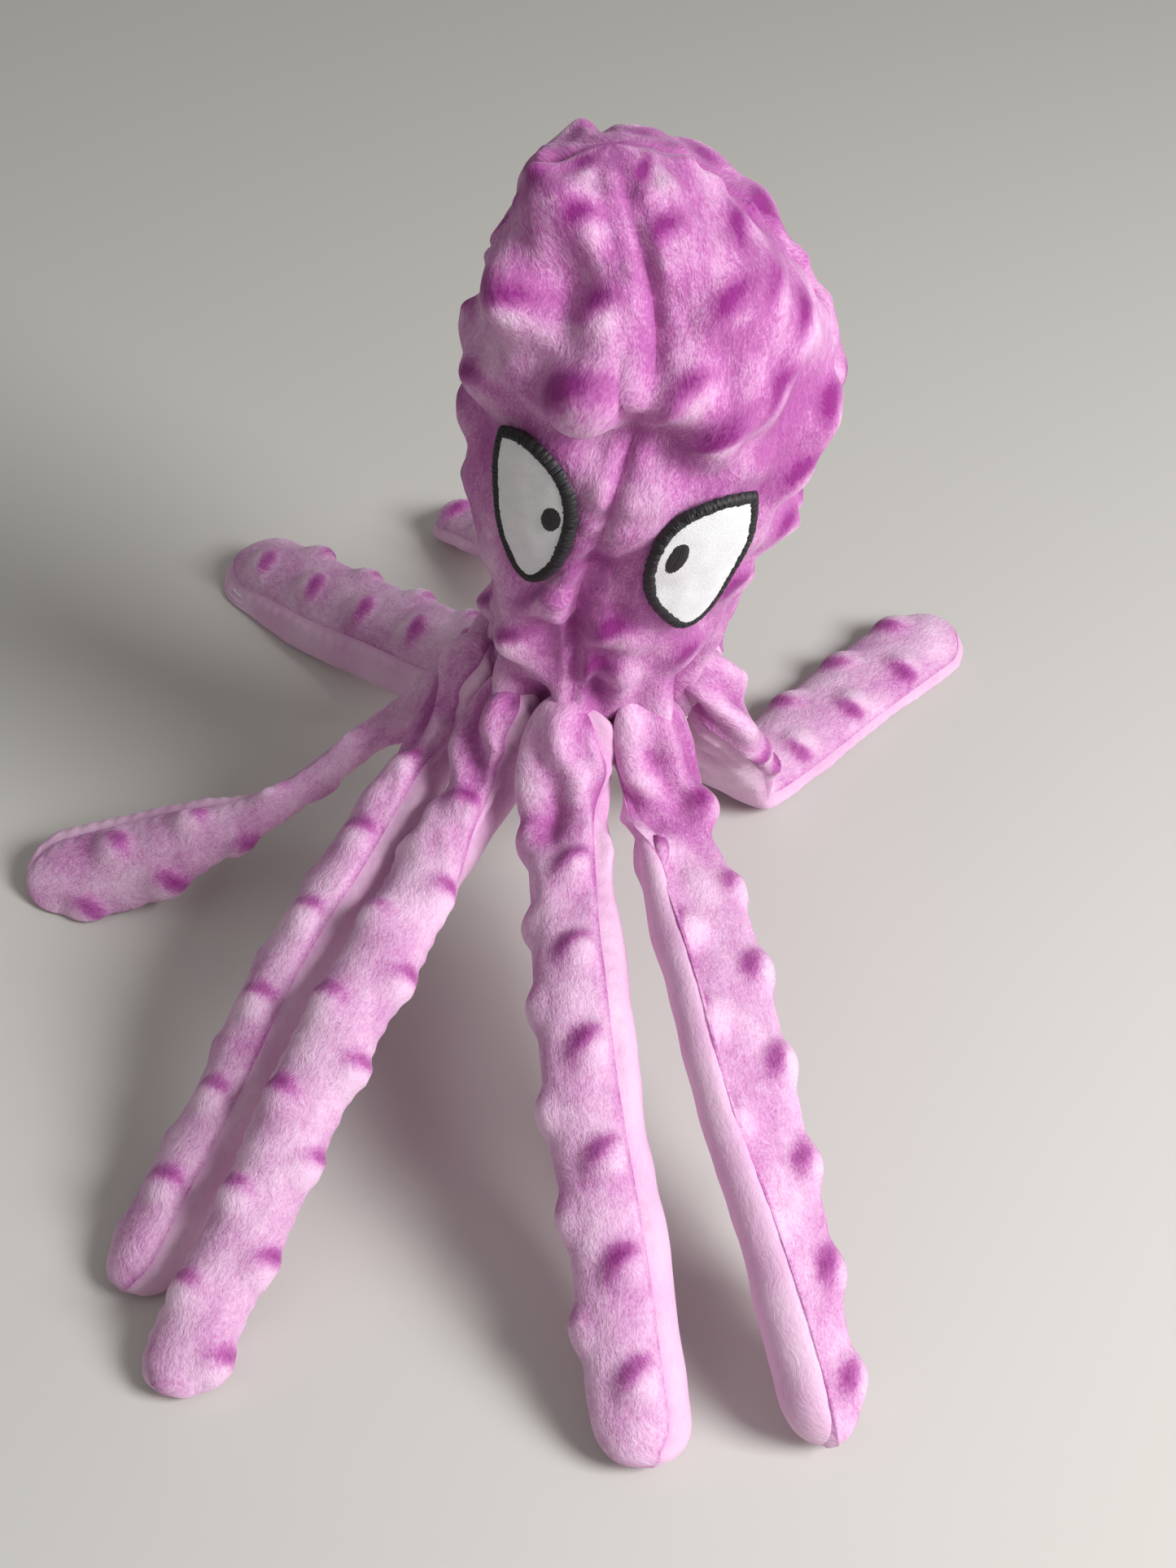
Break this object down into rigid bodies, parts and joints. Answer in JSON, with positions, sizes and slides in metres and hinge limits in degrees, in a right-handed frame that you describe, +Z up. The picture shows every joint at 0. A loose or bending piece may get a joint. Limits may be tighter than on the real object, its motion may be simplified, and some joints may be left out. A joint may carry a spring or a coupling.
{
  "type": "plush octopus toy",
  "caption": "Soft plush octopus pet toy with a stuffed head, a press squeaker and flat crinkle legs that swing at the head and curl at the middle.",
  "frame": {"origin": "centre of the bounding box of the splayed toy, on the table it stands on", "axes": "+Z up; the face looks along -Y; the toy's own left side is +X"},
  "size_m": [0.2681, 0.3599, 0.2284],
  "materials": {
    "plush_dotted": "long soft pile, raised dots",
    "plush_plain": "short soft pile",
    "white_felt": "felt",
    "black_thread": "satin stitch",
    "polyester_fibre": "loose wadding",
    "crinkle_film": "thin film",
    "squeaker_shell": "soft moulded",
    "squeaker_reed": "moulded"
  },
  "bodies": {
    "head": {"head_front_left": "plush_dotted", "head_front_right": "plush_dotted", "head_back_left": "plush_dotted", "head_back_right": "plush_dotted", "underside_panel": "plush_plain", "seam_gather": "plush_plain", "filling_front": "polyester_fibre", "filling_back": "polyester_fibre", "squeaker_base": "squeaker_shell", "squeaker_bellows": "squeaker_shell", "squeaker_reed": "squeaker_reed", "left_eye_felt": "white_felt", "left_eye_border": "black_thread", "left_eye_pupil": "black_thread", "right_eye_felt": "white_felt", "right_eye_border": "black_thread", "right_eye_pupil": "black_thread"},
    "squeaker_cap": {"squeaker_cap": "squeaker_shell"},
    "leg_1_upper": {"leg_1_upper_front": "plush_dotted", "leg_1_upper_back": "plush_plain"},
    "leg_1_lower": {"leg_1_lower_front": "plush_dotted", "leg_1_lower_back": "plush_plain", "leg_1_crinkle_film": "crinkle_film"},
    "leg_2_upper": {"leg_2_upper_front": "plush_dotted", "leg_2_upper_back": "plush_plain"},
    "leg_2_lower": {"leg_2_lower_front": "plush_dotted", "leg_2_lower_back": "plush_plain", "leg_2_crinkle_film": "crinkle_film"},
    "leg_3_upper": {"leg_3_upper_front": "plush_dotted", "leg_3_upper_back": "plush_plain"},
    "leg_3_lower": {"leg_3_lower_front": "plush_dotted", "leg_3_lower_back": "plush_plain", "leg_3_crinkle_film": "crinkle_film"},
    "leg_4_upper": {"leg_4_upper_front": "plush_dotted", "leg_4_upper_back": "plush_plain"},
    "leg_4_lower": {"leg_4_lower_front": "plush_dotted", "leg_4_lower_back": "plush_plain", "leg_4_crinkle_film": "crinkle_film"},
    "leg_5_upper": {"leg_5_upper_front": "plush_dotted", "leg_5_upper_back": "plush_plain"},
    "leg_5_lower": {"leg_5_lower_front": "plush_dotted", "leg_5_lower_back": "plush_plain", "leg_5_crinkle_film": "crinkle_film"},
    "leg_6_upper": {"leg_6_upper_front": "plush_dotted", "leg_6_upper_back": "plush_plain"},
    "leg_6_lower": {"leg_6_lower_front": "plush_dotted", "leg_6_lower_back": "plush_plain", "leg_6_crinkle_film": "crinkle_film"},
    "leg_7_upper": {"leg_7_upper_front": "plush_dotted", "leg_7_upper_back": "plush_plain"},
    "leg_7_lower": {"leg_7_lower_front": "plush_dotted", "leg_7_lower_back": "plush_plain", "leg_7_crinkle_film": "crinkle_film"},
    "leg_8_upper": {"leg_8_upper_front": "plush_dotted", "leg_8_upper_back": "plush_plain"},
    "leg_8_lower": {"leg_8_lower_front": "plush_dotted", "leg_8_lower_back": "plush_plain", "leg_8_crinkle_film": "crinkle_film"}
  },
  "joints": [
    {"name": "leg_1_swing", "type": "hinge", "parent": "head", "child": "leg_1_upper", "pos_m": [0.02249, -0.02261, 0.06], "axis": [-0.9868, -0.1621, 0], "range_deg": [-20, 35]},
    {"name": "leg_1_curl", "type": "hinge", "parent": "leg_1_upper", "child": "leg_1_lower", "pos_m": [0.034, -0.0927, 0.054], "axis": [-0.9645, -0.2641, 0], "range_deg": [-30, 45]},
    {"name": "leg_2_swing", "type": "hinge", "parent": "head", "child": "leg_2_upper", "pos_m": [0.04616, -0.01582, 0.06], "axis": [-0.9529, -0.3034, 0], "range_deg": [-20, 35]},
    {"name": "leg_2_curl", "type": "hinge", "parent": "leg_2_upper", "child": "leg_2_lower", "pos_m": [0.07, -0.0907, 0.048], "axis": [-0.9383, -0.3457, 0], "range_deg": [-35, 45]},
    {"name": "leg_3_swing", "type": "hinge", "parent": "head", "child": "leg_3_upper", "pos_m": [0.0608, 0.00954, 0.06], "axis": [0.996, -0.089, 0], "range_deg": [-20, 15]},
    {"name": "leg_3_curl", "type": "hinge", "parent": "leg_3_upper", "child": "leg_3_lower", "pos_m": [0.064, 0.0453, 0.005], "axis": [0.7799, -0.6259, 0], "range_deg": [-45, 0]},
    {"name": "leg_4_swing", "type": "hinge", "parent": "head", "child": "leg_4_upper", "pos_m": [0.05175, 0.03739, 0.06], "axis": [0.9224, 0.3861, 0], "range_deg": [-20, 35]},
    {"name": "leg_4_curl", "type": "hinge", "parent": "leg_4_upper", "child": "leg_4_lower", "pos_m": [0.025, 0.1013, 0.04], "axis": [0.7768, 0.6298, 0], "range_deg": [-45, 45]},
    {"name": "leg_5_swing", "type": "hinge", "parent": "head", "child": "leg_5_upper", "pos_m": [0.025, 0.0493, 0.06], "axis": [0.4138, 0.9104, 0], "range_deg": [-20, 35]},
    {"name": "leg_5_curl", "type": "hinge", "parent": "leg_5_upper", "child": "leg_5_lower", "pos_m": [-0.019, 0.0693, 0.025], "axis": [0.6402, 0.7682, 0], "range_deg": [-35, 35]},
    {"name": "leg_6_swing", "type": "hinge", "parent": "head", "child": "leg_6_upper", "pos_m": [-0.0009, 0.03831, 0.06], "axis": [-0.5606, 0.8281, 0], "range_deg": [-20, 25]},
    {"name": "leg_6_curl", "type": "hinge", "parent": "leg_6_upper", "child": "leg_6_lower", "pos_m": [-0.06, -0.0017, 0.03], "axis": [-0.124, 0.9923, 0], "range_deg": [-40, 40]},
    {"name": "leg_7_swing", "type": "hinge", "parent": "head", "child": "leg_7_upper", "pos_m": [-0.01056, 0.00767, 0.06], "axis": [-0.9037, 0.4281, 0], "range_deg": [-20, 35]},
    {"name": "leg_7_curl", "type": "hinge", "parent": "leg_7_upper", "child": "leg_7_lower", "pos_m": [-0.042, -0.0587, 0.042], "axis": [-0.9368, 0.3499, 0], "range_deg": [-45, 45]},
    {"name": "leg_8_swing", "type": "hinge", "parent": "head", "child": "leg_8_upper", "pos_m": [0.00091, -0.01345, 0.06], "axis": [-0.9311, 0.3648, 0], "range_deg": [-20, 35]},
    {"name": "leg_8_curl", "type": "hinge", "parent": "leg_8_upper", "child": "leg_8_lower", "pos_m": [-0.027, -0.0847, 0.044], "axis": [-0.9405, 0.3399, 0], "range_deg": [-45, 45]},
    {"name": "squeaker_press", "type": "slide", "parent": "head", "child": "squeaker_cap", "axis": [0, 0, -1], "range_m": [0, 0.008], "stiffness_N_per_m": 200, "deforming": ["squeaker_bellows"]}
  ]
}
